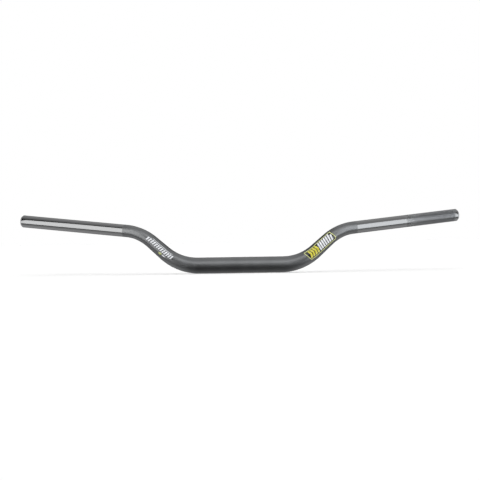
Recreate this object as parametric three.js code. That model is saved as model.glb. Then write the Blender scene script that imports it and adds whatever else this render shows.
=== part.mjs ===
// Off-road motorcycle handlebar, oversize tapered type, bare: one drawn aluminium tube with
// open ends and no crossbar, and the cut-film graphics stuck on its two uprights.
// Millimetres, +Z up. +X is the clutch side, the grips sweep back towards +Y, and the front
// of the bar faces -Y.
//
// A "station" is a distance along the tube's centreline from the middle plane. Everything is
// made on a straight tube first and then carried onto the bent one by onTube().
import * as THREE from 'three';

const { clamp, degToRad, lerp, mapLinear, radToDeg } = THREE.MathUtils;

// ---- driving dimensions ---------------------------------------------------------------
const CLAMP_DIAMETER = 28.6;        // oversize clamp section in the middle
const GRIP_DIAMETER = 22.2;         // 7/8 inch control sections
const WALL = 4.0;                   // tube wall, the same all along
const HALF_WIDTH = 400;             // middle plane to the centre of the end face
const INNER_CORNER_X = 109;         // where the clamp and upright axes meet
const CORNER_TO_CORNER = 91.5;      // along the upright, inner to outer corner
const UPRIGHT_ANGLE = 41.8;         // upright above the clamp axis, degrees
const GRIP_UPSWEEP = 6.0;           // grip axis above level, degrees
const GRIP_BACKSWEEP = 13.4;        // grip axis behind straight out, degrees
const INNER_BEND_RADIUS = 90;       // on the tube's centreline
const OUTER_BEND_RADIUS = 78;
const TAPER_START = 80;             // stations between which the tube narrows
const TAPER_END = 204;
const END_CHAMFER_LENGTH = 2.8;     // outer chamfer, along the axis
const END_CHAMFER_DEPTH = 2.4;      // and down the radius
const BORE_CHAMFER = 0.5;           // 45 degrees

const TUBE_SEGMENTS = 32;           // round the tube
const BEND_STEP = 4.2;              // degrees between rings in a bend
const BEND_END_MARGIN = 1;          // degrees at the end of a bend left without a ring
const MIN_RING_GAP = 1.5;           // between a taper end and any other ring
const FILM_STEP = 2.6;              // longest facet of a film, either way

// Film layers: `low` is the height of the underside above the tube's true surface.
const PRINT_GAP = 0.12;             // second layer above the first
const BASE_LAYER = { low: 0.15, thickness: 0.2 };
const PRINT_LAYER = { low: BASE_LAYER.low + BASE_LAYER.thickness + PRINT_GAP, thickness: 0.15 };

// sides of the bar, as the sign of x
const PLUS_X = 1;
const MINUS_X = -1;

// ---- centreline -----------------------------------------------------------------------
const upright = degToRad(UPRIGHT_ANGLE);
const upsweep = degToRad(GRIP_UPSWEEP);
const backsweep = degToRad(GRIP_BACKSWEEP);
const alongClamp = new THREE.Vector3(1, 0, 0);
const alongUpright = new THREE.Vector3(Math.cos(upright), 0, Math.sin(upright));
const alongGrip = new THREE.Vector3(
  Math.cos(upsweep) * Math.cos(backsweep),
  Math.cos(upsweep) * Math.sin(backsweep),
  Math.sin(upsweep),
);

// A bend leaves along `from` and turns towards `to`; `tangent` is the length it takes off
// each of the two straights, measured from their corner.
function makeBend(from, to, radius) {
  const angle = from.angleTo(to);
  return {
    from,
    radius,
    angle,
    length: radius * angle,
    tangent: radius * Math.tan(angle / 2),
    axis: from.clone().cross(to).normalize(),
    inward: to.clone().addScaledVector(from, -to.dot(from)).normalize(),
  };
}

const innerBend = makeBend(alongClamp, alongUpright, INNER_BEND_RADIUS);
const outerBend = makeBend(alongUpright, alongGrip, OUTER_BEND_RADIUS);

const uprightLength = CORNER_TO_CORNER - innerBend.tangent - outerBend.tangent;
const outerCornerX = INNER_CORNER_X + CORNER_TO_CORNER * alongUpright.x;
const gripLength = (HALF_WIDTH - outerCornerX) / alongGrip.x - outerBend.tangent;

// stations where each section starts, and where the tube ends
const INNER_BEND_START = INNER_CORNER_X - innerBend.tangent;
const UPRIGHT_START = INNER_BEND_START + innerBend.length;
const OUTER_BEND_START = UPRIGHT_START + uprightLength;
const GRIP_START = OUTER_BEND_START + outerBend.length;
const TUBE_END = GRIP_START + gripLength;

// carry a frame `distance` into a bend, at most to the bend's end
function followBend({ centre, front, top }, bend, distance) {
  const angle = clamp(distance / bend.radius, 0, bend.angle);
  centre
    .addScaledVector(bend.from, bend.radius * Math.sin(angle))
    .addScaledVector(bend.inward, bend.radius * (1 - Math.cos(angle)));
  front.applyAxisAngle(bend.axis, angle);
  top.applyAxisAngle(bend.axis, angle);
}

// Centre point and the two directions across the tube at a station of the +X half: `front`
// starts as -Y, `top` as +Z, and both turn only with the bends.
function frameAt(station) {
  const frame = {
    centre: new THREE.Vector3(Math.min(station, INNER_BEND_START), 0, 0),
    front: new THREE.Vector3(0, -1, 0),
    top: new THREE.Vector3(0, 0, 1),
  };
  followBend(frame, innerBend, station - INNER_BEND_START);
  frame.centre.addScaledVector(alongUpright, clamp(station - UPRIGHT_START, 0, uprightLength));
  followBend(frame, outerBend, station - OUTER_BEND_START);
  frame.centre.addScaledVector(alongGrip, Math.max(station - GRIP_START, 0));
  return frame;
}

function outerRadius(station) {
  const taper = clamp((Math.abs(station) - TAPER_START) / (TAPER_END - TAPER_START), 0, 1);
  return lerp(CLAMP_DIAMETER, GRIP_DIAMETER, taper) / 2;
}

// Point at a signed station (negative is the -X half, the mirror image), at `radius` from the
// centreline and `angle` round from the front towards the top.
function onTube(station, angle, radius) {
  const { centre, front, top } = frameAt(Math.abs(station));
  const point = centre
    .addScaledVector(front, radius * Math.cos(angle))
    .addScaledVector(top, radius * Math.sin(angle));
  if (station < 0) point.x = -point.x;
  return point;
}

// Point of a film: `around` is the distance round the tube's surface from its front line,
// `depth` runs from 0 at the layer's underside to 1 at its top.
function onFilm(side, station, around, layer, depth) {
  const surface = outerRadius(station);
  const radius = surface + layer.low + depth * layer.thickness;
  return onTube(side * station, around / surface, radius);
}

// ---- geometry helpers -----------------------------------------------------------------
function deform(geometry, place) {
  const position = geometry.getAttribute('position');
  for (let i = 0; i < position.count; i += 1) {
    const point = place(position.getX(i), position.getY(i), position.getZ(i));
    position.setXYZ(i, point.x, point.y, point.z);
  }
  return geometry;
}

function flipFaces(geometry) {
  const index = geometry.getIndex();
  for (let i = 0; i < index.count; i += 3) {
    const first = index.getX(i);
    index.setX(i, index.getX(i + 1));
    index.setX(i + 1, first);
  }
}

// does the closed geometry's signed volume come out positive?
function facesOut(geometry) {
  const position = geometry.getAttribute('position');
  const index = geometry.getIndex();
  const corners = [new THREE.Vector3(), new THREE.Vector3(), new THREE.Vector3()];
  let volume = 0;
  for (let i = 0; i < index.count; i += 3) {
    corners.forEach((corner, j) => corner.fromBufferAttribute(position, index.getX(i + j)));
    volume += corners[0].dot(corners[1].cross(corners[2]));
  }
  return volume > 0;
}

// turn the faces outwards, since mirroring reverses them, and set the normals
function finished(geometry) {
  if (!facesOut(geometry)) flipFaces(geometry);
  geometry.computeVertexNormals();
  return geometry;
}

// ---- the tube: turned straight, then bent ---------------------------------------------
function bendRings(start, bend) {
  const rings = [];
  const last = radToDeg(bend.angle) - BEND_END_MARGIN;
  for (let degrees = BEND_STEP; degrees < last; degrees += BEND_STEP) {
    rings.push(start + bend.radius * degToRad(degrees));
  }
  return rings;
}

// signed stations of the rings, without any that crowd an end of the taper
function ringStations() {
  const taperEnds = [TAPER_START, TAPER_END];
  const plain = [
    0, INNER_BEND_START, UPRIGHT_START, OUTER_BEND_START, GRIP_START,
    ...bendRings(INNER_BEND_START, innerBend),
    ...bendRings(OUTER_BEND_START, outerBend),
  ].filter((ring) => taperEnds.every((end) => Math.abs(end - ring) >= MIN_RING_GAP));
  const half = [...plain, ...taperEnds].sort((a, b) => a - b);
  const mirrored = half.slice(1).reverse().map((ring) => -ring);
  return [...mirrored, ...half];
}

function tubeGeometry() {
  const rings = ringStations();
  const outer = GRIP_DIAMETER / 2;
  const bore = outer - WALL;
  // closed loop of [radius, station]: up the outside, back down the bore
  const profile = [
    [bore + BORE_CHAMFER, -TUBE_END],
    [outer - END_CHAMFER_DEPTH, -TUBE_END],
    [outer, -TUBE_END + END_CHAMFER_LENGTH],
    ...rings.map((ring) => [outerRadius(ring), ring]),
    [outer, TUBE_END - END_CHAMFER_LENGTH],
    [outer - END_CHAMFER_DEPTH, TUBE_END],
    [bore + BORE_CHAMFER, TUBE_END],
    [bore, TUBE_END - BORE_CHAMFER],
    ...[...rings].reverse().map((ring) => [outerRadius(ring) - WALL, ring]),
    [bore, -TUBE_END + BORE_CHAMFER],
    [bore + BORE_CHAMFER, -TUBE_END],
  ].map(([radius, station]) => new THREE.Vector2(radius, station));
  const turned = new THREE.LatheGeometry(profile, TUBE_SEGMENTS);
  return finished(deform(turned, (x, y, z) => onTube(y, Math.atan2(x, z), Math.hypot(x, z))));
}

// ---- films: flat sheets wrapped on the tube -------------------------------------------
const filmSteps = (length) => Math.max(1, Math.ceil(length / FILM_STEP));

// A sheet is drawn as rows from bottom to top, each { around, from, to }: `around` as in
// onFilm(), `from` and `to` the stations where the row starts and ends.
function sheetGeometry(rows, side, layer) {
  const columns = filmSteps(Math.max(...rows.map((row) => row.to - row.from)));
  const fineRows = [];
  for (let i = 0; i < rows.length - 1; i += 1) {
    const [below, above] = [rows[i], rows[i + 1]];
    const steps = filmSteps(above.around - below.around);
    for (let k = 0; k < steps; k += 1) {
      fineRows.push({
        around: lerp(below.around, above.around, k / steps),
        from: lerp(below.from, above.from, k / steps),
        to: lerp(below.to, above.to, k / steps),
      });
    }
  }
  fineRows.push(rows[rows.length - 1]);
  const lastRow = fineRows.length - 1;
  const flat = new THREE.BoxGeometry(1, 1, 1, columns, lastRow, 1);
  return finished(deform(flat, (x, y, z) => {
    const row = fineRows[Math.round((y + 0.5) * lastRow)];
    return onFilm(side, lerp(row.from, row.to, x + 0.5), row.around, layer, z + 0.5);
  }));
}

// outline moved inwards by `distance`; the outline is convex and runs anticlockwise
function inset(outline, distance) {
  return outline.map((point, i) => {
    const before = outline[(i + outline.length - 1) % outline.length];
    const after = outline[(i + 1) % outline.length];
    const arriving = point.clone().sub(before).normalize();
    const leaving = after.clone().sub(point).normalize();
    const inward = new THREE.Vector2(-arriving.y - leaving.y, arriving.x + leaving.x);
    return inward.multiplyScalar(distance / (1 + arriving.dot(leaving))).add(point);
  });
}

// a closed band of film, `width` wide, inside an outline of (station, around) points
function bandGeometry(outline, width, side, layer) {
  const inner = inset(outline, width);
  const sections = [];
  outline.forEach((point, i) => {
    const j = (i + 1) % outline.length;
    const steps = filmSteps(point.distanceTo(outline[j]));
    for (let k = 0; k < steps; k += 1) {
      sections.push({
        outer: point.clone().lerp(outline[j], k / steps),
        inner: inner[i].clone().lerp(inner[j], k / steps),
      });
    }
  });

  // the four corners of the band's cross-section: edge and depth in the layer
  const corners = [['outer', 0], ['outer', 1], ['inner', 1], ['inner', 0]];
  const vertices = [];
  const index = [];
  sections.forEach((section, i) => {
    const j = (i + 1) % sections.length;
    corners.forEach(([edge, depth], k) => {
      const { x, y } = section[edge];
      vertices.push(...onFilm(side, x, y, layer, depth).toArray());
      const m = (k + 1) % 4;
      index.push(4 * i + k, 4 * j + k, 4 * j + m, 4 * i + k, 4 * j + m, 4 * i + m);
    });
  });
  const geometry = new THREE.BufferGeometry();
  geometry.setAttribute('position', new THREE.Float32BufferAttribute(vertices, 3));
  geometry.setIndex(index);
  return finished(geometry);
}

// rows of a bar: `start` is the station of its lower near corner, `lean` how much farther
// from the middle of the handlebar its top is
function slantedBar({ start, width, bottom, top, lean }) {
  return [
    { around: bottom, from: start, to: start + width },
    { around: top, from: start + lean, to: start + lean + width },
  ];
}

// rows of a chevron whose point is `reach` farther from the middle of the handlebar
function chevron({ start, width, bottom, top, reach }) {
  const middle = (bottom + top) / 2;
  return [
    { around: bottom, from: start, to: start + width },
    { around: middle, from: start + reach, to: start + reach + width },
    { around: top, from: start, to: start + width },
  ];
}

// ---- materials ------------------------------------------------------------------------
const aluminium = () => new THREE.MeshStandardMaterial({
  color: 0x74777a,
  roughness: 0.5,
  metalness: 0.9,
});
const film = (color) => new THREE.MeshStandardMaterial({ color, roughness: 0.3, metalness: 0 });
const blackFilm = () => film(0x15161a);
const limeFilm = () => film(0xdfe27c);
const yellowFilm = () => film(0xe8da2c);
const whiteFilm = () => film(0xeef0f4);

// ---- assembly -------------------------------------------------------------------------
const handlebar = new THREE.Group();

function add(name, geometry, material) {
  const mesh = new THREE.Mesh(geometry, material);
  mesh.name = name;
  handlebar.add(mesh);
  return mesh;
}

// Badge on the +X upright: black base film, a light keyline, an even row of yellow chevrons
// and an even row of white bars, the last one cut short by the keyline.
function addBadge() {
  // (station, around), anticlockwise; "near" is towards the middle of the handlebar
  const outline = [
    new THREE.Vector2(125.0, -8.2),
    new THREE.Vector2(180.5, -8.2),
    new THREE.Vector2(184.5, -5.2),
    new THREE.Vector2(180.0, 11.2),
    new THREE.Vector2(118.4, 11.2),
  ];
  const [nearBottom, farBottom, farTip, farTop, nearTop] = outline;
  const nearEdgeAtTip = mapLinear(farTip.y, nearBottom.y, nearTop.y, nearBottom.x, nearTop.x);
  const baseRows = [
    { around: nearBottom.y, from: nearBottom.x, to: farBottom.x },
    { around: farTip.y, from: nearEdgeAtTip, to: farTip.x },
    { around: nearTop.y, from: nearTop.x, to: farTop.x },
  ];
  const keylineMargin = 0.4;
  const keylineWidth = 1.2;
  const print = { bottom: -5.2, top: 9.0 };
  const chevrons = { count: 4, start: 126.3, pitch: 5.1, width: 3.6, reach: 2.6 };
  const bars = { count: 7, start: 147.6, pitch: 4.45, width: 3.0, lean: 2.8 };
  const shortBar = { top: 5.0, lean: 2.0 };

  add('badge_base_film', sheetGeometry(baseRows, PLUS_X, BASE_LAYER), blackFilm());
  const keylineOutline = inset(outline, keylineMargin);
  const keyline = bandGeometry(keylineOutline, keylineWidth, PLUS_X, PRINT_LAYER);
  add('badge_keyline', keyline, limeFilm());
  for (let i = 0; i < chevrons.count; i += 1) {
    const start = chevrons.start + chevrons.pitch * i;
    const rows = chevron({ ...print, ...chevrons, start });
    add(`badge_chevron_${i + 1}`, sheetGeometry(rows, PLUS_X, PRINT_LAYER), yellowFilm());
  }
  for (let i = 0; i < bars.count; i += 1) {
    const start = bars.start + bars.pitch * i;
    const cut = i === bars.count - 1 ? shortBar : {};
    const rows = slantedBar({ ...print, ...bars, ...cut, start });
    add(`badge_bar_${i + 1}`, sheetGeometry(rows, PLUS_X, PRINT_LAYER), whiteFilm());
  }
}

// Graphic on the -X upright, straight on the metal: an even row of equal white bars, a
// pinstripe over them and two small tags under.
function addGraphic() {
  const bars = { count: 13, start: 125.6, pitch: 4.5, width: 2.6, bottom: -2.0, top: 4.8, lean: -2.3 };
  const pinstripe = { start: 127.0, width: 45.5, bottom: 6.3, top: 7.0, lean: 0 };
  const yellowTag = { start: 143.8, width: 6.0, bottom: -7.4, top: -3.6, lean: -0.9 };
  const whiteTag = { start: 136.0, width: 6.2, bottom: -5.9, top: -4.3, lean: -0.4 };

  const addBar = (name, bar, material) => (
    add(`graphic_${name}`, sheetGeometry(slantedBar(bar), MINUS_X, BASE_LAYER), material)
  );
  for (let i = 0; i < bars.count; i += 1) {
    addBar(`bar_${i + 1}`, { ...bars, start: bars.start + bars.pitch * i }, whiteFilm());
  }
  addBar('pinstripe', pinstripe, whiteFilm());
  addBar('tag_yellow', yellowTag, yellowFilm());
  addBar('tag_white', whiteTag, whiteFilm());
}

const tube = add('bar_tube', tubeGeometry(), aluminium());
addBadge();
addGraphic();

// The origin is the middle of the tube's box, at the height of its lowest point, so the clamp
// section's axis crosses the middle plane in front of it and one clamp radius above it.
const box = new THREE.Box3().setFromBufferAttribute(tube.geometry.getAttribute('position'));
handlebar.position.set(0, -(box.min.y + box.max.y) / 2, -box.min.z);

export default handlebar;
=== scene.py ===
"""Looks of the bare tapered off-road handlebar.

The bar lies along X, its clamp section centred on x = 0. Its front faces -Y, its grip
sections sweep back towards +Y, and up is +Z. The CAD tube and films are replaced one for
one by finer pieces on the same centreline: a tube with rounded chamfers, a modelled diamond
knurl, a bore and separate finish zones, and thin films with rounded corners.
Lengths are millimetres until the meshes, shaders and camera turn them into metres.
"""

import math

import bmesh
import bpy
import numpy as np
from mathutils import Matrix, Vector


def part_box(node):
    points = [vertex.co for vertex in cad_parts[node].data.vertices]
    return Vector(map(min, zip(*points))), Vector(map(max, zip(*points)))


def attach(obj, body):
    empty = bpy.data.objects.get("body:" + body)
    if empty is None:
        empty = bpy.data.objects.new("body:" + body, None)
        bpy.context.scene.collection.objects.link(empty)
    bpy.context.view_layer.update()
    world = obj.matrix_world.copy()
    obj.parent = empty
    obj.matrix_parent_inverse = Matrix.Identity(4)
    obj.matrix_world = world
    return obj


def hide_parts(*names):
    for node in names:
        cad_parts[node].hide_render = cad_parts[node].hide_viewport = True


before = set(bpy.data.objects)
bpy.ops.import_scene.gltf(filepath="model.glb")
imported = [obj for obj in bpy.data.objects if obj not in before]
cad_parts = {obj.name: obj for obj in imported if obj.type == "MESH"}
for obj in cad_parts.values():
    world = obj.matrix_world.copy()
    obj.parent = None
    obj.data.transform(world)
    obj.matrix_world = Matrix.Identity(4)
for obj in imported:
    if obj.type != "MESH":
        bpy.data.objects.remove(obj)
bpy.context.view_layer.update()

# ---------------------------------------------------------------------------------------
# dimensions
CLAMP_R, GRIP_R, WALL = 14.3, 11.1, 4.0
BORE_R = GRIP_R - WALL              # in the grip sections
HALF_WIDTH = 400.0
# corners of the centreline before its bends are rounded
INNER_CORNER_X, CORNER_TO_CORNER = 109.0, 91.5
UPRIGHT = math.radians(41.8)        # slope of the leg between the corners
UPSWEEP, BACKSWEEP = math.radians(6.0), math.radians(13.4)
INNER_BEND_R, OUTER_BEND_R = 90.0, 78.0
TAPER_START, TAPER_END = 80.0, 204.0    # stations along the centreline

AROUND = 120                # facets round the bar, each half a diamond of the knurl
FACET = 2 * math.pi * GRIP_R / AROUND / 1000    # width of a facet in metres
SMOOTH_START = 227.0        # station: blasted inboard of it, smooth outboard, both sides

# knurl, on the +X side only
KNURL_FROM_END = 106.0      # from its start to the end plane
KNURL_TO_END = 8.6          # plain metal between it and the end plane
KNURL_STEP = 0.6            # half a diamond, along the bar
KNURL_LAST = int((KNURL_FROM_END - KNURL_TO_END) / KNURL_STEP) - 1      # its last row
KNURL_FLAT = 0.70           # flat top of a diamond, as a part of its width
KNURL_PEAK, KNURL_GROOVE = 0.02, -0.11      # heights over the plain tube
KNURL_RUN_IN, KNURL_RUN_OUT = 15, 3         # rows over which it deepens and fades
PLAIN_BEFORE, PLAIN_AFTER = 1.2, 0.7        # from the knurl to the nearest plain rings

# tube end: (distance back from the end plane, radius), from the grip round to the bore
END_PROFILE = [
    # rounded outer edge
    (3.05, GRIP_R), (2.92, GRIP_R - 0.016), (2.79, GRIP_R - 0.064), (2.65, GRIP_R - 0.145),
    # chamfer
    (2.50, GRIP_R - 0.257), (1.40, GRIP_R - 1.20), (0.30, GRIP_R - 2.143),
    # rounded edge into the end face
    (0.17, GRIP_R - 2.268), (0.075, GRIP_R - 2.386), (0.02, GRIP_R - 2.496),
    (0.0, GRIP_R - 2.60),
    # eased edge into the bore
    (0.0, BORE_R + 0.66), (0.04, BORE_R + 0.52), (0.16, BORE_R + 0.36),
    (0.44, BORE_R + 0.10), (0.62, BORE_R + 0.02), (0.85, BORE_R),
]
BORE_FROM_END = 4.0         # first bore ring inside the end profile

tube_low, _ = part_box("bar_tube")
# centre of the clamp section
ORIGIN = np.array([0.0, tube_low.y * 1000 + CLAMP_R, tube_low.z * 1000 + CLAMP_R])


# ---------------------------------------------------------------------------------------
# centreline of the +X half, mirrored for -X; a station is the distance along it from x = 0
def unit(vector):
    return vector / np.linalg.norm(vector)


CLAMP_DIR = np.array([1.0, 0, 0])
LEG_DIR = np.array([math.cos(UPRIGHT), 0, math.sin(UPRIGHT)])
GRIP_DIR = np.array([
    math.cos(UPSWEEP) * math.cos(BACKSWEEP),
    math.cos(UPSWEEP) * math.sin(BACKSWEEP),
    math.sin(UPSWEEP),
])
# towards the centre of each bend, and the axis it turns about
INNER_SIDE = unit(LEG_DIR - CLAMP_DIR * (LEG_DIR @ CLAMP_DIR))
OUTER_SIDE = unit(GRIP_DIR - LEG_DIR * (GRIP_DIR @ LEG_DIR))
INNER_AXIS = unit(np.cross(CLAMP_DIR, LEG_DIR))
OUTER_AXIS = unit(np.cross(LEG_DIR, GRIP_DIR))
INNER_ANGLE = math.acos(CLAMP_DIR @ LEG_DIR)
OUTER_ANGLE = math.acos(LEG_DIR @ GRIP_DIR)
# from each corner to where its bend starts or ends
INNER_TANGENT = INNER_BEND_R * math.tan(INNER_ANGLE / 2)
OUTER_TANGENT = OUTER_BEND_R * math.tan(OUTER_ANGLE / 2)
CORNER_TO_END = (HALF_WIDTH - INNER_CORNER_X - CORNER_TO_CORNER * LEG_DIR[0]) / GRIP_DIR[0]

INNER_START = INNER_CORNER_X - INNER_TANGENT
INNER_END = INNER_START + INNER_BEND_R * INNER_ANGLE
OUTER_START = INNER_END + CORNER_TO_CORNER - INNER_TANGENT - OUTER_TANGENT
OUTER_END = OUTER_START + OUTER_BEND_R * OUTER_ANGLE
BAR_END = OUTER_END + CORNER_TO_END - OUTER_TANGENT
KNURL_START = BAR_END - KNURL_FROM_END


def rotated(vectors, axis, angles):
    """The vectors turned about axis, each by its own angle."""
    cos, sin = np.cos(angles)[:, None], np.sin(angles)[:, None]
    vectors = np.broadcast_to(vectors, (len(angles), 3))
    along_axis = axis * (vectors @ axis)[:, None]
    return vectors * cos + np.cross(axis, vectors) * sin + along_axis * (1 - cos)


def bend(radius, angles, direction, side):
    """How far an arc that leaves along direction, and bends to side, has gone at each angle."""
    cos, sin = np.cos(angles)[:, None], np.sin(angles)[:, None]
    return radius * (sin * direction + (1 - cos) * side)


def centreline(stations):
    """Centres, and the cross directions to the front and top, at signed stations.

    The cross directions turn only with the bends. Places are from the clamp's centre.
    """
    along = np.abs(stations)
    inner = np.clip((along - INNER_START) / INNER_BEND_R, 0, INNER_ANGLE)
    outer = np.clip((along - OUTER_START) / OUTER_BEND_R, 0, OUTER_ANGLE)
    centre = np.minimum(along, INNER_START)[:, None] * CLAMP_DIR
    centre = centre + bend(INNER_BEND_R, inner, CLAMP_DIR, INNER_SIDE)
    centre = centre + np.clip(along - INNER_END, 0, OUTER_START - INNER_END)[:, None] * LEG_DIR
    centre = centre + bend(OUTER_BEND_R, outer, LEG_DIR, OUTER_SIDE)
    centre = centre + np.maximum(along - OUTER_END, 0)[:, None] * GRIP_DIR
    front, top = (
        rotated(rotated(np.array(start), INNER_AXIS, inner), OUTER_AXIS, outer)
        for start in ((0, -1.0, 0), (0, 0, 1.0))
    )
    for vectors in (centre, front, top):
        vectors[:, 0] *= np.where(stations < 0, -1.0, 1.0)
    return centre, front, top


def tube_radius(station):
    return np.interp(np.abs(station), [TAPER_START, TAPER_END], [CLAMP_R, GRIP_R])


def on_tube(stations, angles, radii):
    """Points in metres at stations, angles round from the front to the top, and radii."""
    centre, front, top = centreline(stations)
    angles, radii = angles[:, None], radii[:, None]
    points = centre + radii * (np.cos(angles) * front + np.sin(angles) * top)
    return (points + ORIGIN) / 1000.0


def wrap_u(station):
    """U of the wrap map: metres along the bar from its -X end."""
    return (station + BAR_END) / 1000


# ---------------------------------------------------------------------------------------
# node building
class Nodes:
    """Adds nodes to a tree and drives the inputs of its shader."""

    def __init__(self, tree, shader):
        self.tree, self.shader = tree, shader

    def feed(self, socket, value):
        """Link an output to the socket, or set a number, vector or RGB colour on it."""
        if isinstance(value, bpy.types.NodeSocket):
            self.tree.links.new(value, socket)
        elif socket.type == "RGBA":
            socket.default_value = (*value, 1)
        else:
            socket.default_value = value

    def drive(self, name, value):
        self.feed(self.shader.inputs[name], value)

    def add(self, kind, inputs, **settings):
        new = self.tree.nodes.new(kind)
        for name, value in settings.items():
            setattr(new, name, value)
        for key, value in inputs.items():
            self.feed(new.inputs[key], value)
        return new

    def coordinates(self, space="UV", stretch=(1, 1, 1)):
        """Coordinates in metres times stretch; UV has U along the bar and V round it."""
        source = self.add("ShaderNodeTexCoord", {})
        inputs = {"Scale": stretch, "Vector": source.outputs[space]}
        return self.add("ShaderNodeMapping", inputs).outputs["Vector"]

    def noise(self, scale, detail, roughness, space="Object", stretch=(1, 1, 1)):
        vector = self.coordinates(space, stretch)
        inputs = {"Scale": scale, "Detail": detail, "Roughness": roughness, "Vector": vector}
        return self.add("ShaderNodeTexNoise", inputs).outputs["Fac"]

    def remap(self, value, span, to=(0, 1), smooth=False):
        inputs = {
            "From Min": span[0], "From Max": span[1],
            "To Min": to[0], "To Max": to[1], "Value": value,
        }
        kind = "SMOOTHSTEP" if smooth else "LINEAR"
        new = self.add("ShaderNodeMapRange", inputs, interpolation_type=kind)
        return new.outputs["Result"]

    def ramp(self, value, span, to=(0, 1)):
        """A remap that eases in and out."""
        return self.remap(value, span, to, smooth=True)

    def calc(self, operation, *terms):
        new = self.add("ShaderNodeMath", dict(enumerate(terms)), operation=operation)
        return new.outputs[0]

    def blend(self, factor, first, second):
        # 0, 6 and 7 are the factor and the two colours; output 2 is the colour
        inputs = {0: factor, 6: first, 7: second}
        return self.add("ShaderNodeMix", inputs, data_type="RGBA").outputs[2]

    def bump(self, height, strength, depth, under=None):
        """A normal from height, depth in mm, on top of the normal under it."""
        inputs = {"Strength": strength, "Distance": depth / 1000, "Height": height}
        if under is not None:
            inputs["Normal"] = under
        return self.add("ShaderNodeBump", inputs).outputs["Normal"]


def new_material(name):
    material = bpy.data.materials.new(name)
    material.use_nodes = True
    tree = material.node_tree
    return material, Nodes(tree, tree.nodes["Principled BSDF"])


# ---------------------------------------------------------------------------------------
# materials: linear RGB colours and roughness
MID_NOISE = (0.3, 0.7)      # the part of a noise's range that most of it lies in

BLAST_DARK, BLAST_LIGHT = (0.154, 0.158, 0.162), (0.184, 0.188, 0.192)
BLAST_SPECK = (0.30, 0.305, 0.31)
BLAST_ROUGH = 0.40
SMOOTH_DARK, SMOOTH_LIGHT = (0.198, 0.200, 0.203), (0.228, 0.230, 0.233)
SMOOTH_ROUGH = 0.09
KNURL_NEAR_HIGHLIGHT = (0.288, 0.294, 0.302)      # diamond tops near the knurl's start, brightened as a painted highlight
KNURL_LIGHT = (0.216, 0.222, 0.231)     # diamond tops farther out, where the painted highlight has faded
KNURL_GROOVE_SHADE = (0.16, 0.162, 0.165)       # grooves, darkened as painted shade
KNURL_WORN = (0.5, 0.5, 0.5)
KNURL_ROUGH = 0.36
TURNED_DARK, TURNED_LIGHT = (0.62, 0.63, 0.64), (0.80, 0.80, 0.81)
BORE_DARK, BORE_LIGHT = (0.30, 0.303, 0.308), (0.44, 0.443, 0.448)


def blasted_metal():
    """Fine bead blast under grey anodise: an even matte grey with a faint cloud and grain."""
    material, nodes = new_material("blasted_anodised")
    nodes.drive("Metallic", 1)
    cloud = nodes.noise(scale=38, detail=4, roughness=0.55)
    grain = nodes.noise(scale=2600, detail=2, roughness=0.7)
    tint = nodes.blend(nodes.remap(cloud, span=MID_NOISE), BLAST_DARK, BLAST_LIGHT)
    speck = nodes.remap(grain, span=(0.35, 0.65), to=(0, 0.22))
    nodes.drive("Base Color", nodes.blend(speck, tint, BLAST_SPECK))
    cloudy = nodes.remap(cloud, span=MID_NOISE, to=(BLAST_ROUGH - 0.02, BLAST_ROUGH + 0.02))
    grainy = nodes.remap(grain, span=MID_NOISE, to=(-0.03, 0.03))
    nodes.drive("Roughness", nodes.calc("ADD", cloudy, grainy))
    nodes.drive("Normal", nodes.bump(grain, strength=0.30, depth=0.04))
    return material


def smooth_metal():
    """Linished and anodised: close to a mirror, with fine lines round the tube."""
    material, nodes = new_material("smooth_anodised")
    nodes.drive("Metallic", 1)
    lines = nodes.noise(scale=1, detail=3, roughness=0.7, space="UV", stretch=(5200, 60, 1))
    wide = nodes.noise(scale=1, detail=2, roughness=0.5, space="UV", stretch=(260, 14, 1))
    smear = nodes.noise(scale=55, detail=3, roughness=0.5)
    tint = nodes.blend(nodes.remap(lines, span=MID_NOISE), SMOOTH_DARK, SMOOTH_LIGHT)
    nodes.drive("Base Color", tint)
    lined = nodes.remap(lines, span=MID_NOISE, to=(SMOOTH_ROUGH - 0.02, SMOOTH_ROUGH + 0.03))
    smeared = nodes.remap(smear, span=(0.4, 0.7), to=(0, 0.035))
    nodes.drive("Roughness", nodes.calc("ADD", lined, smeared))
    fine = nodes.bump(lines, strength=0.12, depth=0.01)
    nodes.drive("Normal", nodes.bump(wide, strength=0.06, depth=0.03, under=fine))
    return material


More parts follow.
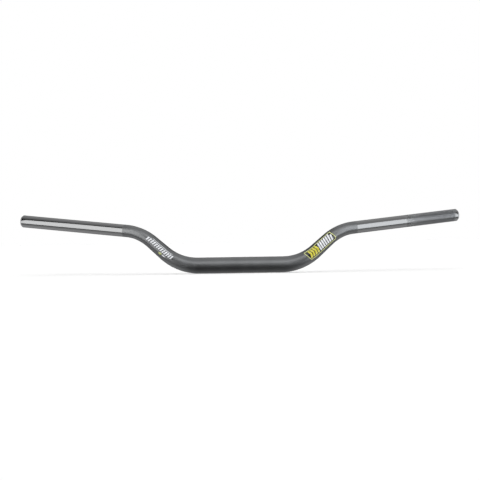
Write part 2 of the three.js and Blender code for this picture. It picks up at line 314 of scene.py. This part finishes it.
def knurled_metal():
    """The knurl itself is in the mesh; this paints shade into its grooves, paints a highlight
    on its tops near its start, and brightens its worn rims.
    """
    material, nodes = new_material("knurled_anodised")
    nodes.drive("Metallic", 1)
    split = nodes.add("ShaderNodeSeparateXYZ", {0: nodes.coordinates()})
    along, around, _ = split.outputs

    def from_start(length, to=(0, 1)):
        """Eases over the first length mm of the knurl."""
        span = (wrap_u(KNURL_START), wrap_u(KNURL_START + length))
        return nodes.ramp(along, span=span, to=to)

    # distance to the nearer of the two sets of slanting grooves, 0 in a groove and 0.5
    # in the middle of a diamond
    offset = nodes.calc("SUBTRACT", along, wrap_u(KNURL_START))
    u = nodes.calc("DIVIDE", offset, 2 * KNURL_STEP / 1000)
    v = nodes.calc("DIVIDE", around, 2 * FACET)
    distances = []
    for operation in ("ADD", "SUBTRACT"):
        # half a diamond over, plus 50 to stay positive
        phase = nodes.calc("FRACT", nodes.calc("ADD", nodes.calc(operation, u, v), 50.5))
        distances.append(nodes.calc("ABSOLUTE", nodes.calc("SUBTRACT", phase, 0.5)))
    distance = nodes.calc("MINIMUM", *distances)
    edge = 0.5 * (1 - KNURL_FLAT)       # where the flat top starts
    height = nodes.ramp(distance, span=(0.2 * edge, edge))
    wear = nodes.noise(scale=900, detail=2, roughness=0.6)

    # painted highlight: the tops are a little brighter near its start and duller towards the
    # end
    highlit_tops = nodes.blend(from_start(13), SMOOTH_LIGHT, KNURL_NEAR_HIGHLIGHT)
    top = nodes.blend(from_start(48), highlit_tops, KNURL_LIGHT)
    # painted shade: the grooves take a darker colour than the diamond tops
    tint = nodes.blend(height, KNURL_GROOVE_SHADE, top)
    rim = nodes.calc(
        "MULTIPLY",
        nodes.ramp(distance, span=(0.85 * edge, 1.05 * edge)),
        nodes.ramp(distance, span=(1.05 * edge, 1.5 * edge), to=(1, 0)),
    )
    worn = nodes.calc("MULTIPLY", rim, nodes.remap(wear, span=(0.4, 0.6), to=(0.1, 0.6)))
    nodes.drive("Base Color", nodes.blend(worn, tint, KNURL_WORN))
    run_in = from_start(18, to=(0.40, 1))
    rough = nodes.remap(wear, span=MID_NOISE, to=(KNURL_ROUGH - 0.04, KNURL_ROUGH + 0.04))
    nodes.drive("Roughness", nodes.calc("MULTIPLY", run_in, rough))
    nodes.drive("Normal", nodes.bump(wear, strength=0.15, depth=0.02))
    return material


def turned_metal():
    """Ends turned after anodising: bright metal with fine tool lines round it."""
    material, nodes = new_material("turned_aluminium")
    nodes.drive("Metallic", 1)
    vector = nodes.coordinates(stretch=(1, 0.05, 1))
    ridge = nodes.add(
        "ShaderNodeTexWave",
        {"Scale": 1100, "Distortion": 1.2, "Detail": 2, "Vector": vector},
        wave_type="BANDS", bands_direction="X", wave_profile="SIN",
    ).outputs["Fac"]
    nodes.drive("Base Color", nodes.blend(ridge, TURNED_DARK, TURNED_LIGHT))
    nodes.drive("Roughness", nodes.remap(ridge, span=(0, 1), to=(0.26, 0.18)))
    nodes.drive("Normal", nodes.bump(ridge, strength=0.2, depth=0.01))
    return material


def bore_metal():
    """Drawn inside surface: dull grey with lines along the tube."""
    material, nodes = new_material("drawn_bore")
    nodes.drive("Metallic", 1)
    lines = nodes.noise(scale=1, detail=3, roughness=0.6, space="UV", stretch=(30, 3000, 1))
    tint = nodes.blend(nodes.remap(lines, span=MID_NOISE), BORE_DARK, BORE_LIGHT)
    nodes.drive("Base Color", tint)
    nodes.drive("Roughness", nodes.remap(lines, span=MID_NOISE, to=(0.38, 0.55)))
    nodes.drive("Normal", nodes.bump(lines, strength=0.2, depth=0.03))
    return material


def film(name, light, dark, rough=0.3):
    """Printed vinyl: a clear gloss over the ink, a fine peel and a slight cloud in the ink."""
    material, nodes = new_material(name)
    cloud = nodes.noise(scale=240, detail=3, roughness=0.6)
    peel = nodes.noise(scale=1500, detail=2, roughness=0.5)
    ink = nodes.blend(nodes.remap(cloud, span=(0.35, 0.65)), dark, light)
    nodes.drive("Base Color", ink)
    peeled = nodes.remap(peel, span=MID_NOISE, to=(rough - 0.04, rough + 0.05))
    nodes.drive("Roughness", peeled)
    nodes.drive("Coat Weight", 0.5)
    nodes.drive("Coat Roughness", 0.12)
    nodes.drive("Normal", nodes.bump(peel, strength=0.12, depth=0.02))
    return material


# finish zones of the tube, in the order of its material slots
METALS = {
    "blasted": blasted_metal(),
    "smooth": smooth_metal(),
    "knurl": knurled_metal(),
    "turned": turned_metal(),
    "bore": bore_metal(),
}
# (material, slot) of each film
BLACK = (film("film_black", (0.014, 0.014, 0.016), (0.008, 0.008, 0.009), rough=0.28),
         "black_film")
LIME = (film("film_lime", (0.72, 0.76, 0.34), (0.62, 0.66, 0.26)), "lime_film")
YELLOW = (film("film_yellow", (0.69, 0.635, 0.05), (0.57, 0.52, 0.035)), "yellow_film")
WHITE = (film("film_white", (0.82, 0.84, 0.87), (0.73, 0.75, 0.78)), "white_film")
OLIVE = (film("film_olive", (0.46, 0.50, 0.20), (0.38, 0.42, 0.15)), "yellow_film")


# ---------------------------------------------------------------------------------------
# meshes into objects
def face_outward(bm):
    if bm.calc_volume(signed=True) < 0:
        bmesh.ops.reverse_faces(bm, faces=bm.faces)


def add_piece(mesh, cad, sharp_angle):
    """Shade the mesh smooth but for edges over sharp_angle degrees, and put it for its CAD."""
    mesh.polygons.foreach_set("use_smooth", [True] * len(mesh.polygons))
    mesh.set_sharp_from_angle(angle=math.radians(sharp_angle))
    piece = bpy.data.objects.new(mesh.name, mesh)
    bpy.context.scene.collection.objects.link(piece)
    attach(piece, "root")
    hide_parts(cad)


# ---------------------------------------------------------------------------------------
# the tube
def spaced(start, *spans):
    """Stations from start on through each (stop, step), the steps evened out in each span."""
    stations = [start]
    for stop, step in spans:
        count = max(1, round(abs(stop - start) / step))
        stations += [start + (stop - start) * i / count for i in range(1, count + 1)]
        start = stop
    return stations


def knurl_depth(row):
    """How full the knurl is at a row, from 0 at its ends to 1."""
    return min(1.0, row / KNURL_RUN_IN, (KNURL_LAST - row) / KNURL_RUN_OUT)


def tube_rings():
    """Rings as (station, radius, zone of the strip after it), and the first knurl ring.

    They run from the -X end along the outside to the +X end, and back through the bore.
    """
    blasted = spaced(
        0.0, (INNER_START, 9), (TAPER_START, 2), (INNER_END, 1.8), (OUTER_START, 4),
        (TAPER_END, 1.6), (OUTER_END, 1.6), (SMOOTH_START, 2.5),
    )
    # -X half
    smooth = spaced(SMOOTH_START, (BAR_END - END_PROFILE[0][0], 8))
    rings = [(back - BAR_END, r, "turned") for back, r in reversed(END_PROFILE[1:])]
    rings += [(-s, GRIP_R, "smooth") for s in reversed(smooth[1:])]
    rings += [(-s, tube_radius(s), "blasted") for s in reversed(blasted[1:])]
    # +X half
    smooth = spaced(SMOOTH_START, (KNURL_START - PLAIN_BEFORE, 8))
    rings += [(s, tube_radius(s), "blasted") for s in blasted[:-1]]
    rings += [(s, GRIP_R, "smooth") for s in smooth[:-1]]
    rings.append((smooth[-1], GRIP_R, "knurl"))
    first = len(rings)
    for row in range(KNURL_LAST + 1):
        r = GRIP_R + KNURL_GROOVE * knurl_depth(row)
        rings.append((KNURL_START + KNURL_STEP * row, r, "knurl"))
    rings.append((BAR_END - KNURL_TO_END + PLAIN_AFTER, GRIP_R, "smooth"))
    rings += [(BAR_END - back, r, "turned") for back, r in END_PROFILE[:-1]]
    back, r = END_PROFILE[-1]
    rings.append((BAR_END - back, r, "bore"))
    # bore
    bore = spaced(
        BAR_END - BORE_FROM_END, (OUTER_END, 40), (OUTER_START, 3.5), (INNER_END, 8),
        (INNER_START, 3.5), (0, 18),
    )
    bore += [-s for s in reversed(bore[:-1])]
    rings += [(s, tube_radius(s) - WALL, "bore") for s in bore]
    return rings, first


# A face is (zone, corners), and a corner is (vertex, (u, v)).
def strip_faces(stations, radii, zones, first_knurl):
    """Quads between each ring and the next, the last joined to the first, knurl left out."""
    faces = []
    steps = np.abs(np.diff(stations)) + np.abs(np.diff(radii))
    travel = np.concatenate([[0], np.cumsum(steps)])
    count = len(stations)
    for i in range(count):
        if first_knurl <= i < first_knurl + KNURL_LAST:
            continue
        j = (i + 1) % count
        # turned strips go by travel, so that their U also grows across the end face
        place = travel if zones[i] == "turned" else stations
        u_i, u_j = wrap_u(place[i]), wrap_u(place[j])
        for a in range(AROUND):
            b = (a + 1) % AROUND
            v_a, v_b = a * FACET, (a + 1) * FACET
            faces.append((zones[i], [
                (i * AROUND + a, (u_i, v_a)),
                (i * AROUND + b, (u_i, v_b)),
                (j * AROUND + b, (u_j, v_b)),
                (j * AROUND + a, (u_j, v_a)),
            ]))
    return faces


def knurl_faces(stations, first_knurl):
    """Faces of the knurl, and the flat tops' vertices as (station, facets round, radius).

    Each diamond has a flat top and four groove walls down to its corners, where the
    grooves cross. The first and last rows are flat half diamonds.
    """
    faces, tops = [], []
    base = len(stations) * AROUND

    def ring_corner(row, a):
        ring = first_knurl + row
        return ring * AROUND + a % AROUND, (wrap_u(stations[ring]), a * FACET)

    def top_corner(station, a, radius):
        tops.append((station, a, radius))
        return base + len(tops) - 1, (wrap_u(station), a * FACET)

    directions = ((-1, 0), (0, 1), (1, 0), (0, -1))     # (along, round)
    for row in range(1, KNURL_LAST):
        radius = GRIP_R + KNURL_PEAK * knurl_depth(row)
        station = stations[first_knurl + row]
        for a in range((row + 1) % 2, AROUND, 2):
            low = [ring_corner(row + x, a + y) for x, y in directions]
            high = [
                top_corner(station + x * KNURL_STEP * KNURL_FLAT, a + y * KNURL_FLAT, radius)
                for x, y in directions
            ]
            faces.append(("knurl", high))
            for i in range(4):
                j = (i + 1) % 4
                faces.append(("knurl", [low[i], low[j], high[j], high[i]]))

    for row, inner in ((0, 1), (KNURL_LAST, KNURL_LAST - 1)):
        for a in range((row + 1) % 2, AROUND, 2):
            tip = ring_corner(inner, a)
            for b in (a - 1, a):
                corners = [ring_corner(row, b), ring_corner(row, b + 1), tip]
                faces.append(("knurl", corners if row == 0 else corners[::-1]))
    return faces, tops


def build_tube():
    rings, first_knurl = tube_rings()
    stations = np.array([ring[0] for ring in rings])
    radii = np.array([ring[1] for ring in rings])
    zones = [ring[2] for ring in rings]
    faces = strip_faces(stations, radii, zones, first_knurl)
    knurl, tops = knurl_faces(stations, first_knurl)
    faces += knurl

    angles = 2 * np.pi * np.arange(AROUND) / AROUND
    ring_points = on_tube(
        np.repeat(stations, AROUND), np.tile(angles, len(rings)), np.repeat(radii, AROUND))
    tops = np.array(tops)
    top_points = on_tube(tops[:, 0], tops[:, 1] * 2 * np.pi / AROUND, tops[:, 2])
    points = np.concatenate([ring_points, top_points])
    # ring vertices in the middle of a diamond belong to no face and are left out
    used = np.zeros(len(points), bool)
    used[[vertex for _, corners in faces for vertex, _ in corners]] = True
    index = np.cumsum(used) - 1

    mesh = bpy.data.meshes.new("bar_tube_fine")
    polygons = [tuple(int(index[vertex]) for vertex, _ in corners) for _, corners in faces]
    mesh.from_pydata(points[used].tolist(), [], polygons)
    for material in METALS.values():
        mesh.materials.append(material)
    slots = list(METALS)
    mesh.polygons.foreach_set("material_index", [slots.index(zone) for zone, _ in faces])
    wrap = mesh.uv_layers.new(name="wrap")
    uvs = np.array([uv for _, corners in faces for _, uv in corners], np.float32)
    wrap.data.foreach_set("uv", uvs.ravel())
    mesh.validate()
    mesh.update()
    bm = bmesh.new()
    bm.from_mesh(mesh)
    face_outward(bm)
    bm.to_mesh(mesh)
    bm.free()
    add_piece(mesh, cad="bar_tube", sharp_angle=16)


# ---------------------------------------------------------------------------------------
# films: drawn flat as (station, distance round from the front towards the top), then wrapped
SHEET_CELL = (2.0, 0.9)     # spacing of the cuts along and round
CUT_SHIFT = 0.0137          # moves the cuts off round numbers
CUT_MARGIN = 0.02           # no cut nearer than this to the outline's extent
BAND_STEP = 1.2             # longest edge along a band


def rounded(outline, radius, segments=6):
    """The outline with each corner rounded, by less where an edge is short."""
    points = [np.array(point, float) for point in outline]
    result = []
    for i, corner in enumerate(points):
        before, after = points[i - 1] - corner, points[(i + 1) % len(points)] - corner
        u, v = unit(before), unit(after)
        half = math.acos(max(-1, min(1, u @ v))) / 2
        tangent = min(
            radius / math.tan(half),
            0.45 * np.linalg.norm(before),
            0.45 * np.linalg.norm(after),
        )
        centre = corner + unit(u + v) * (tangent * math.tan(half) / math.sin(half))
        start, end = corner + u * tangent - centre, corner + v * tangent - centre
        total = math.atan2(start[0] * end[1] - start[1] * end[0], start @ end)
        for k in range(segments + 1):
            cos, sin = math.cos(total * k / segments), math.sin(total * k / segments)
            x, y = start
            result.append(centre + np.array([x * cos - y * sin, x * sin + y * cos]))
    return result


def inset(outline, distance):
    """A convex anticlockwise outline moved in by a distance."""
    points = [np.array(point, float) for point in outline]
    result = []
    for i, point in enumerate(points):
        u, v = unit(point - points[i - 1]), unit(points[(i + 1) % len(points)] - point)
        normals = np.array([-u[1] - v[1], u[0] + v[0]])
        result.append(point + normals * distance / (1 + u @ v))
    return result


def wrap_film(cad, bm, side, layer, look):
    """Close a flat sheet into a film between the layer's heights, wrapped on the tube.

    side is 1 for the +X half and -1 for the -X half.
    """
    extruded = bmesh.ops.extrude_face_region(bm, geom=list(bm.faces))["geom"]
    lifted = {item for item in extruded if isinstance(item, bmesh.types.BMVert)}
    low, high = layer
    vertices = list(bm.verts)
    stations = np.array([vertex.co.x for vertex in vertices])
    around = np.array([vertex.co.y for vertex in vertices])
    heights = np.array([high if vertex in lifted else low for vertex in vertices])
    radii = tube_radius(stations)
    points = on_tube(side * stations, around / radii, radii + heights)
    for vertex, point in zip(vertices, points):
        vertex.co = point
    face_outward(bm)
    mesh = bpy.data.meshes.new(cad + "_print")
    bm.to_mesh(mesh)
    bm.free()
    material, slot = look
    mesh.materials.append(material)
    add_piece(mesh, cad, sharp_angle=35)


def sheet(cad, outline, side, layer, look, corner):
    """A film with rounded corners, cut into cells fine enough to follow the tube."""
    bm = bmesh.new()
    points = rounded(outline, corner)
    bm.faces.new([bm.verts.new((x, y, 0)) for x, y in points])
    bmesh.ops.triangulate(bm, faces=list(bm.faces))
    for axis, step in enumerate(SHEET_CELL):
        low, high = min(p[axis] for p in points), max(p[axis] for p in points)
        normal = [0, 0, 0]
        normal[axis] = 1
        cut = math.floor(low / step) * step + step
        while high - cut > CUT_MARGIN:
            if cut - low > CUT_MARGIN:
                place = [0, 0, 0]
                place[axis] = cut + CUT_SHIFT
                bmesh.ops.bisect_plane(
                    bm, geom=list(bm.verts) + list(bm.edges) + list(bm.faces),
                    plane_co=place, plane_no=normal, dist=1e-6)
            cut += step
    wrap_film(cad, bm, side, layer, look)


def band(cad, outline, width, side, layer, look, outer_corner, inner_corner):
    """A line of film that follows the inside of an outline."""
    bm = bmesh.new()
    outer = rounded(outline, outer_corner, segments=8)
    inner = rounded(inset(outline, width), inner_corner, segments=8)
    loops = [[], []]
    for i in range(len(outer)):
        j = (i + 1) % len(outer)
        count = max(1, math.ceil(np.linalg.norm(outer[j] - outer[i]) / BAND_STEP))
        for loop, edge in zip(loops, (outer, inner)):
            loop += [edge[i] + (edge[j] - edge[i]) * k / count for k in range(count)]
    outer, inner = ([bm.verts.new((x, y, 0)) for x, y in loop] for loop in loops)
    for i in range(len(outer)):
        j = (i + 1) % len(outer)
        bm.faces.new((outer[i], outer[j], inner[j], inner[i]))
    wrap_film(cad, bm, side, layer, look)


def slanted(start, width, bottom, top, lean):
    return [
        (start, bottom), (start + width, bottom),
        (start + width + lean, top), (start + lean, top),
    ]


def chevron(start, width, bottom, top, reach):
    middle = (bottom + top) / 2
    return [
        (start, bottom), (start + width, bottom), (start + width + reach, middle),
        (start + width, top), (start, top), (start + reach, middle),
    ]


# heights over the tube of a film's underside and face
BASE_LAYER, PRINT_LAYER = (0.03, 0.15), (0.18, 0.24)
BADGE = [(125.0, -8.2), (180.5, -8.2), (184.5, -5.2), (180.0, 11.2), (118.4, 11.2)]
BADGE_BOTTOM, BADGE_TOP = -5.2, 9.0     # of the chevrons and all bars but the last
CHEVRON_START, CHEVRON_PITCH = 126.3, 5.1
BADGE_BAR_START, BADGE_BAR_PITCH = 147.6, 4.45
GRAPHIC_BAR_START, GRAPHIC_BAR_PITCH = 125.6, 4.5


def build_badge():
    """Black badge on the +X side with a keyline, four chevrons and seven slanted bars."""
    sheet("badge_base_film", BADGE, 1, BASE_LAYER, BLACK, corner=1.4)
    band("badge_keyline", inset(BADGE, 0.4), width=1.2, side=1, layer=PRINT_LAYER, look=LIME,
         outer_corner=1.2, inner_corner=0.2)
    for i in range(4):
        outline = chevron(CHEVRON_START + CHEVRON_PITCH * i, width=3.6,
                          bottom=BADGE_BOTTOM, top=BADGE_TOP, reach=2.6)
        sheet(f"badge_chevron_{i + 1}", outline, 1, PRINT_LAYER, YELLOW, corner=0.4)
    for i in range(7):
        # the last bar is shorter
        top, lean = (BADGE_TOP, 2.8) if i < 6 else (5.0, 2.0)
        outline = slanted(BADGE_BAR_START + BADGE_BAR_PITCH * i, width=3.0,
                          bottom=BADGE_BOTTOM, top=top, lean=lean)
        sheet(f"badge_bar_{i + 1}", outline, 1, PRINT_LAYER, WHITE, corner=0.4)


def build_graphic():
    """Bars, a pinstripe and two tags straight on the metal of the -X side."""
    for i in range(13):
        outline = slanted(GRAPHIC_BAR_START + GRAPHIC_BAR_PITCH * i, width=2.6,
                          bottom=-2.0, top=4.8, lean=-2.3)
        sheet(f"graphic_bar_{i + 1}", outline, -1, BASE_LAYER, WHITE, corner=0.35)
    stripe = slanted(start=127.0, width=45.5, bottom=6.3, top=7.0, lean=0)
    sheet("graphic_pinstripe", stripe, -1, BASE_LAYER, WHITE, corner=0.2)
    tag = slanted(start=143.8, width=6.0, bottom=-7.4, top=-3.6, lean=-0.9)
    sheet("graphic_tag_yellow", tag, -1, BASE_LAYER, OLIVE, corner=0.5)
    tag = slanted(start=136.0, width=6.2, bottom=-5.9, top=-4.3, lean=-0.4)
    sheet("graphic_tag_white", tag, -1, BASE_LAYER, WHITE, corner=0.4)


build_tube()
build_badge()
build_graphic()

# ---------------------------------------------------------------------------------------
# floor and world, in metres
scene = bpy.context.scene
FLOOR_HALF = 22.0
FLOOR_Z = -0.0006

BACKDROP = 1.0              # brightness of the world as the camera sees it
# radiance of the room that lights and reflects in the bar
MID_FRONT, MID_BACK = 0.03, 0.30        # around eye level
MID_SIDE = 0.10                         # added to the sides at eye level
WALL_GLOW = 0.30                        # added beyond the bar's ends
CORNER_SHADE = 0.85                     # part taken off the rear corners over eye level
CEILING, CEILING_SPAN = 0.80, (0.60, 0.74)      # radiance, and upward slopes it fades in over
GROUND_SPAN = (0.60, 0.72)                      # downward slopes the ground fades in over
GROUND_FRONT, GROUND_SIDE, GROUND_BACK = 0.06, 0.63, 0.35


def build_floor():
    mesh = bpy.data.meshes.new("floor")
    signs = ((-1, -1), (1, -1), (1, 1), (-1, 1))
    corners = [(x * FLOOR_HALF, y * FLOOR_HALF, 0) for x, y in signs]
    mesh.from_pydata(corners, [], [(0, 1, 2, 3)])
    floor = bpy.data.objects.new("floor", mesh)
    scene.collection.objects.link(floor)
    floor.location = (0, 0, FLOOR_Z)
    material, nodes = new_material("floor_paper")
    nodes.drive("Base Color", (0.74, 0.74, 0.74))
    nodes.drive("Roughness", 0.9)
    nodes.drive("Specular IOR Level", 0.0)
    nodes.drive("Emission Color", (1, 1, 1))
    nodes.drive("Emission Strength", 0.31)
    mesh.materials.append(material)
    floor.visible_glossy = False


def build_world():
    """A white backdrop to the camera, and a room of soft light by direction to the rest."""
    world = bpy.data.worlds.new("studio")
    scene.world = world
    world.use_nodes = True
    tree = world.node_tree
    tree.nodes.clear()
    output = tree.nodes.new("ShaderNodeOutputWorld")
    background = tree.nodes.new("ShaderNodeBackground")
    tree.links.new(background.outputs[0], output.inputs["Surface"])
    nodes = Nodes(tree, background)
    calc, ramp = nodes.calc, nodes.ramp
    source = nodes.add("ShaderNodeTexCoord", {})
    split = nodes.add("ShaderNodeSeparateXYZ", {0: source.outputs["Generated"]})
    x, y, z = split.outputs

    left = ramp(calc("MULTIPLY", x, -1.0), span=(0.10, 0.45))
    side = calc("ABSOLUTE", x)

    # eye level: dark in front, lighter behind but for two dark corners
    upper_side = calc("MULTIPLY", ramp(side, span=(0.22, 0.34)), ramp(z, span=(0.04, 0.14)))
    shade = calc("MULTIPLY", upper_side, ramp(y, span=(0.3, 0.5), to=(0, CORNER_SHADE)))
    middle = calc("MULTIPLY", ramp(y, span=(-0.8, 0.6), to=(MID_FRONT, MID_BACK)),
                  calc("SUBTRACT", 1.0, shade))
    level_band = ramp(calc("ABSOLUTE", z), span=(0.26, 0.42), to=(1, 0))
    side_glow = ramp(side, span=(0.12, 0.30), to=(0, MID_SIDE))
    middle = calc("ADD", middle, calc("MULTIPLY", level_band, side_glow))
    middle = calc("ADD", middle, ramp(side, span=(0.70, 0.80), to=(0, WALL_GLOW)))

    # ceiling: starts higher and is dimmer on the left
    up = ramp(calc("SUBTRACT", z, calc("MULTIPLY", left, 0.12)), span=CEILING_SPAN)
    ceiling = calc("MULTIPLY", ramp(y, span=(-0.35, 0.35), to=(0.85, 1.1)), CEILING)
    dimming = calc("SUBTRACT", 1.0, calc("MULTIPLY", left, 0.25))
    ceiling = calc("MULTIPLY", ceiling, dimming)

    # ground: dark in front of the bar, bright to its sides
    down = ramp(calc("MULTIPLY", z, -1.0), span=GROUND_SPAN)
    ground_sides = ramp(side, span=(0.15, 0.50), to=(GROUND_FRONT, GROUND_FRONT + GROUND_SIDE))
    ground = calc("ADD", ground_sides, ramp(y, span=(-0.3, 0.4), to=(0, GROUND_BACK)))

    rest = calc("SUBTRACT", 1.0, calc("ADD", up, down))
    above_below = calc("ADD", calc("MULTIPLY", up, ceiling), calc("MULTIPLY", down, ground))
    room = calc("ADD", calc("MULTIPLY", middle, rest), above_below)

    to_camera = nodes.add("ShaderNodeLightPath", {}).outputs["Is Camera Ray"]
    backdrop = calc("MULTIPLY", to_camera, BACKDROP)
    unseen = calc("MULTIPLY", calc("SUBTRACT", 1.0, to_camera), room)
    nodes.drive("Strength", calc("ADD", backdrop, unseen))
    nodes.drive("Color", (1, 1, 1))


build_floor()
build_world()

# ---------------------------------------------------------------------------------------
# lights: the softboxes shape the metal, and the sun fills the films and the floor
SOFTBOX_TARGET = Vector((0, 0, 0.06))
SOFTBOX_DISTANCE = 2.0


def softbox(name, azimuth, elevation, size, radiance, colour=(1, 1, 1), lean=0):
    """A flat light of even radiance that faces the bar.

    Angles are degrees, the azimuth from the front (-Y) towards +X; size is in metres.
    """
    azimuth, elevation = math.radians(azimuth), math.radians(elevation)
    direction = Vector((
        math.sin(azimuth) * math.cos(elevation),
        -math.cos(azimuth) * math.cos(elevation),
        math.sin(elevation),
    ))
    data = bpy.data.lights.new(name, "AREA")
    data.shape = "RECTANGLE"
    data.size, data.size_y = size
    data.energy = radiance * size[0] * size[1] * math.pi
    data.color = colour
    light = bpy.data.objects.new(name, data)
    scene.collection.objects.link(light)
    light.location = SOFTBOX_TARGET + direction * SOFTBOX_DISTANCE
    facing = direction.to_track_quat("Z", "Y").to_matrix()
    light.rotation_euler = (facing @ Matrix.Rotation(math.radians(lean), 3, "Z")).to_euler()
    light.visible_camera = False
    light.visible_diffuse = False


def floor_fill():
    """A wide soft sun that doesn't show in reflections."""
    data = bpy.data.lights.new("floor_fill", "SUN")
    data.energy = 2.0
    data.angle = math.radians(80)
    light = bpy.data.objects.new("floor_fill", data)
    scene.collection.objects.link(light)
    light.rotation_euler = (math.radians(40), 0, 0)
    light.visible_glossy = False


softbox("softbox_right", azimuth=37, elevation=3.4, size=(1.25, 2.66), radiance=2.8,
        colour=(0.96, 0.98, 1.0), lean=15)
softbox("softbox_left", azimuth=-38.5, elevation=2.9, size=(1.1, 2.54), radiance=2.7,
        colour=(1.0, 1.0, 0.99), lean=-15)
softbox("softbox_top", azimuth=0, elevation=41, size=(1.5, 1.2), radiance=1.0)
floor_fill()

# ---------------------------------------------------------------------------------------
# camera: looks level along +Y from in front, rolled a touch
CAMERA_ROLL = 0.014985                          # radians
CAMERA_ACROSS, CAMERA_UP = -0.761, 44.536       # from the clamp's centre, along its own axes
CAMERA_DISTANCE = 1800.0
SENSOR_WIDTH, LENS = 36.0, 75.5325


def build_camera():
    data = bpy.data.cameras.new("camera")
    data.sensor_width = SENSOR_WIDTH
    data.lens = LENS
    data.clip_start, data.clip_end = 0.05, 60.0
    camera = bpy.data.objects.new("camera", data)
    scene.collection.objects.link(camera)
    cos, sin = math.cos(CAMERA_ROLL), math.sin(CAMERA_ROLL)
    place = Matrix(((cos, sin, 0, 0), (0, 0, -1, 0), (-sin, cos, 0, 0), (0, 0, 0, 1)))
    offset = Vector((
        cos * CAMERA_ACROSS + sin * CAMERA_UP,
        -CAMERA_DISTANCE,
        -sin * CAMERA_ACROSS + cos * CAMERA_UP,
    ))
    place.translation = (offset + Vector(ORIGIN)) / 1000
    camera.matrix_world = place
    scene.camera = camera


build_camera()
scene.view_settings.view_transform = "Standard"
scene.view_settings.look = "None"
scene.view_settings.exposure = 0.0
scene.view_settings.gamma = 1.0
